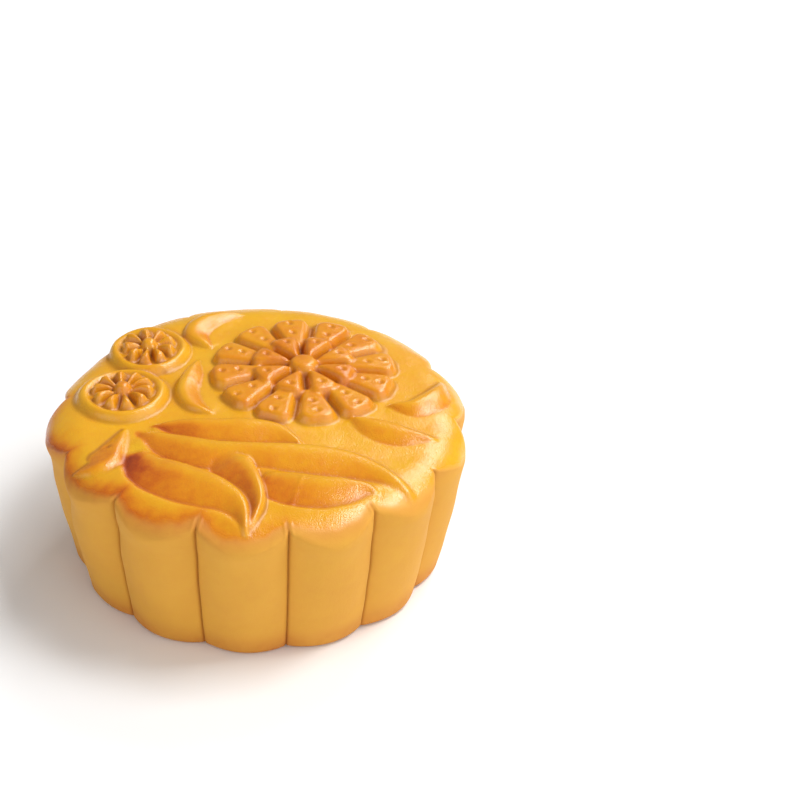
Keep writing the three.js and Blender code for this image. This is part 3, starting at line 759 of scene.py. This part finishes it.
def crust_material():
    """Base colour: a ramp from yellow through orange to red-brown by the browning and the painted
    shade that its mask carries, over the wall's own pale gold by the glaze, and darkened by
    painted shade in the creases, partly egg wash pooled there. Roughness falls with the glaze, and
    fine pebbles and grains stand higher in it."""
    material = bpy.data.materials.new("baked_crust")
    material.use_nodes = True
    tree = material.node_tree
    tree.nodes.clear()
    place = node(tree, "ShaderNodeTexCoord").outputs["Object"]

    def noise(size, detail):
        return node(tree, "ShaderNodeTexNoise", {
            "Vector": place, "Scale": 1 / (size * MM), "Detail": detail,
        }).outputs["Fac"]

    def maths(kind, a, b, clamp=False):
        made = node(tree, "ShaderNodeMath", {0: a, 1: b}, operation=kind, use_clamp=clamp)
        return made.outputs[0]

    def scaled(value, by, add):
        return maths("ADD", maths("MULTIPLY", value, by), add)

    def swung(value, by):
        return scaled(value, by, -by / 2)

    def colours(amount, first, second, blend="MIX"):
        made = node(tree, "ShaderNodeMix", {
            MIX_AMOUNT: amount, MIX_FIRST: first, MIX_SECOND: second,
        }, data_type="RGBA", blend_type=blend)
        return made.outputs[MIX_RESULT]

    def stored(name):
        return node(tree, "ShaderNodeAttribute", attribute_name=name).outputs["Fac"]

    glaze_mask, brown_and_shade_mask = stored("glaze"), stored("browning")
    crease_mask, stain_mask, foot_mask = stored("crease_shade_and_wash"), stored("stain"), stored("foot")
    blotches, mottle, specks = noise(*BLOTCHES), noise(*MOTTLE), noise(*SPECKS)

    brown = maths("ADD", brown_and_shade_mask, swung(blotches, BLOTCH_BROWN))
    brown = maths("ADD", brown, swung(mottle, MOTTLE_BROWN))
    brown = maths("ADD", brown, swung(specks, SPECK_BROWN))
    brown = maths("ADD", brown, maths("MULTIPLY", stain_mask, STAIN_BROWN), clamp=True)
    ramp = node(tree, "ShaderNodeValToRGB", {"Fac": brown})
    elements = ramp.color_ramp.elements
    while len(elements) < len(TOP_BROWNS):
        elements.new(0.5)
    for element, (at, colour) in zip(elements, TOP_BROWNS):
        element.position = at
        element.color = linear(*colour)
    top_colour = ramp.outputs["Color"]

    wall_colour = colours(scaled(blotches, *TAN_BLOTCHES), linear(*WALL_GOLD), linear(*WALL_TAN))
    wall_colour = colours(scaled(mottle, *PALE_MOTTLE), wall_colour, linear(*WALL_PALE))
    stained = maths("MULTIPLY", stain_mask, WALL_STAIN)
    wall_brown = maths("ADD", stained, maths("MULTIPLY", foot_mask, WALL_FOOT_BROWN))
    wall_brown = maths("MULTIPLY", wall_brown, scaled(blotches, *BROWN_BLOTCHES))
    wall_brown = maths("MULTIPLY", wall_brown, scaled(mottle, *BROWN_MOTTLE), clamp=True)
    wall_colour = colours(wall_brown, wall_colour, linear(*WALL_BROWN))

    colour = colours(glaze_mask, wall_colour, top_colour)
    # Painted shade in the creases, along leaf edges and in the grooves, partly egg wash pooled in
    # the creases.
    crease_share = maths("MULTIPLY", crease_mask, CREASE_SHARE, clamp=True)
    colour = colours(crease_share, colour, linear(*CREASE_SHADE_AND_WASH_BROWN))
    colour = colours(1.0, colour, (*[DEPTH_OF_COLOUR] * 3, 1.0), "MULTIPLY")

    roughness = scaled(glaze_mask, GLAZE_ROUGHNESS - WALL_ROUGHNESS, WALL_ROUGHNESS)
    roughness = maths("ADD", roughness, swung(mottle, MOTTLE_ROUGHNESS))
    crease_rough = maths("MULTIPLY", crease_mask, CREASE_ROUGHNESS)
    roughness = maths("ADD", roughness, crease_rough, clamp=True)
    pebbles = maths("MULTIPLY", noise(*PEBBLES), scaled(glaze_mask, *GLAZE_PEBBLES))
    grains = maths("MULTIPLY", noise(*GRAINS), scaled(glaze_mask, *GLAZE_GRAINS))
    height = maths("ADD", pebbles, grains)
    height = maths("ADD", height, maths("MULTIPLY", mottle, MOTTLE_HEIGHT))
    bump = node(tree, "ShaderNodeBump", {
        "Height": height, "Strength": BUMP_STRENGTH, "Distance": BUMP_HEIGHT * MM,
    })

    shader = node(tree, "ShaderNodeBsdfPrincipled", {
        "Base Color": colour, "Roughness": roughness, "Normal": bump.outputs["Normal"],
        "Specular IOR Level": SPECULAR_LEVEL,
    })
    output = node(tree, "ShaderNodeOutputMaterial")
    tree.links.new(shader.outputs[0], output.inputs["Surface"])
    return material


mesh.materials.append(crust_material())
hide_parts("mooncake")
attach(crust, "root")

# The floor that the cake stands on: one plain, pale, matt sheet, far wider than the picture.
# Its sizes, and those of the lights and the camera, are in metres.
FLOOR_SIZE = 6
FLOOR_SHADE = 0.9
FLOOR_ROUGHNESS = 0.8
half_floor = FLOOR_SIZE / 2
floor_mesh = bpy.data.meshes.new("floor")
floor_mesh.from_pydata(
    [(-half_floor, -half_floor, 0), (half_floor, -half_floor, 0),
     (half_floor, half_floor, 0), (-half_floor, half_floor, 0)], [], [(0, 1, 2, 3)])
floor = bpy.data.objects.new("floor", floor_mesh)
bpy.context.scene.collection.objects.link(floor)
floor_material = bpy.data.materials.new("pale_floor")
floor_material.use_nodes = True
floor_shader = floor_material.node_tree.nodes["Principled BSDF"]
floor_shader.inputs["Base Color"].default_value = (FLOOR_SHADE, FLOOR_SHADE, FLOOR_SHADE, 1)
floor_shader.inputs["Roughness"].default_value = FLOOR_ROUGHNESS
floor_mesh.materials.append(floor_material)

# The studio's light: a faint white surround, two small lamps high on the right and behind, which
# put the gloss on the top, and two wide low ones in front, which light the wall.
SURROUND = 0.25
LAMP_AIM = (0, 0, 0.02)
world = bpy.data.worlds.new("studio")
world.use_nodes = True
world.node_tree.nodes["Background"].inputs["Color"].default_value = (1, 1, 1, 1)
world.node_tree.nodes["Background"].inputs["Strength"].default_value = SURROUND
bpy.context.scene.world = world


def soft_box(name, azimuth_deg, elevation_deg, away, size, power):
    """A square soft light aimed at the cake. Azimuth is from the front, -Y, towards +X."""
    light = bpy.data.lights.new(name, "AREA")
    light.shape = "SQUARE"
    light.size = size
    light.energy = power
    a, e = math.radians(azimuth_deg), math.radians(elevation_deg)
    back = Vector((math.sin(a) * math.cos(e), -math.cos(a) * math.cos(e), math.sin(e)))
    made = bpy.data.objects.new(name, light)
    made.location = Vector(LAMP_AIM) + back * away
    made.rotation_mode = "QUATERNION"
    made.rotation_quaternion = back.to_track_quat("Z", "Y")
    bpy.context.scene.collection.objects.link(made)


soft_box("key_light", azimuth_deg=100, elevation_deg=58, away=1, size=0.42, power=7.4)
soft_box("back_light", azimuth_deg=150, elevation_deg=42, away=1, size=0.35, power=3.3)
soft_box("front_light", azimuth_deg=55, elevation_deg=18, away=1.3, size=1.8, power=13.3)
soft_box("left_light", azimuth_deg=-40, elevation_deg=18, away=1.2, size=1.4, power=7.1)

# The camera at the photo's angle: it is turned a little past the cake, which stands low and to
# the left in the picture.
IMAGE_SIZE = 800
FOCAL_PIXELS = 2557.7
SENSOR_WIDTH = 36  # in millimetres
CAMERA_AWAY = 0.5
CAMERA_ELEVATION = math.radians(35.83)
CAMERA_ROLL = math.radians(-0.57)
NEAREST_SEEN = 0.01
FARTHEST_SEEN = 20
AIM_HEIGHT = 0.018
TARGET = Vector((-middle[0] * MM, -middle[1] * MM, AIM_HEIGHT))
TARGET_PIXEL = (258.2, 464.9)
camera_data = bpy.data.cameras.new("camera")
camera_data.sensor_width = SENSOR_WIDTH
camera_data.lens = FOCAL_PIXELS * SENSOR_WIDTH / IMAGE_SIZE
camera_data.clip_start = NEAREST_SEEN
camera_data.clip_end = FARTHEST_SEEN
back = Vector((0, -math.cos(CAMERA_ELEVATION), math.sin(CAMERA_ELEVATION)))
straight = back.to_track_quat("Z", "Y").to_matrix() @ Matrix.Rotation(CAMERA_ROLL, 3, "Z")
seen = Vector((
    (TARGET_PIXEL[0] - IMAGE_SIZE / 2) / FOCAL_PIXELS,
    (IMAGE_SIZE / 2 - TARGET_PIXEL[1]) / FOCAL_PIXELS,
    -1,
)).normalized()
turned = straight @ seen.rotation_difference(Vector((0, 0, -1))).to_matrix()
camera = bpy.data.objects.new("camera", camera_data)
camera.matrix_world = Matrix.Translation(TARGET + back * CAMERA_AWAY) @ turned.to_4x4()
bpy.context.scene.collection.objects.link(camera)
bpy.context.scene.camera = camera
bpy.context.scene.view_settings.view_transform = "Standard"
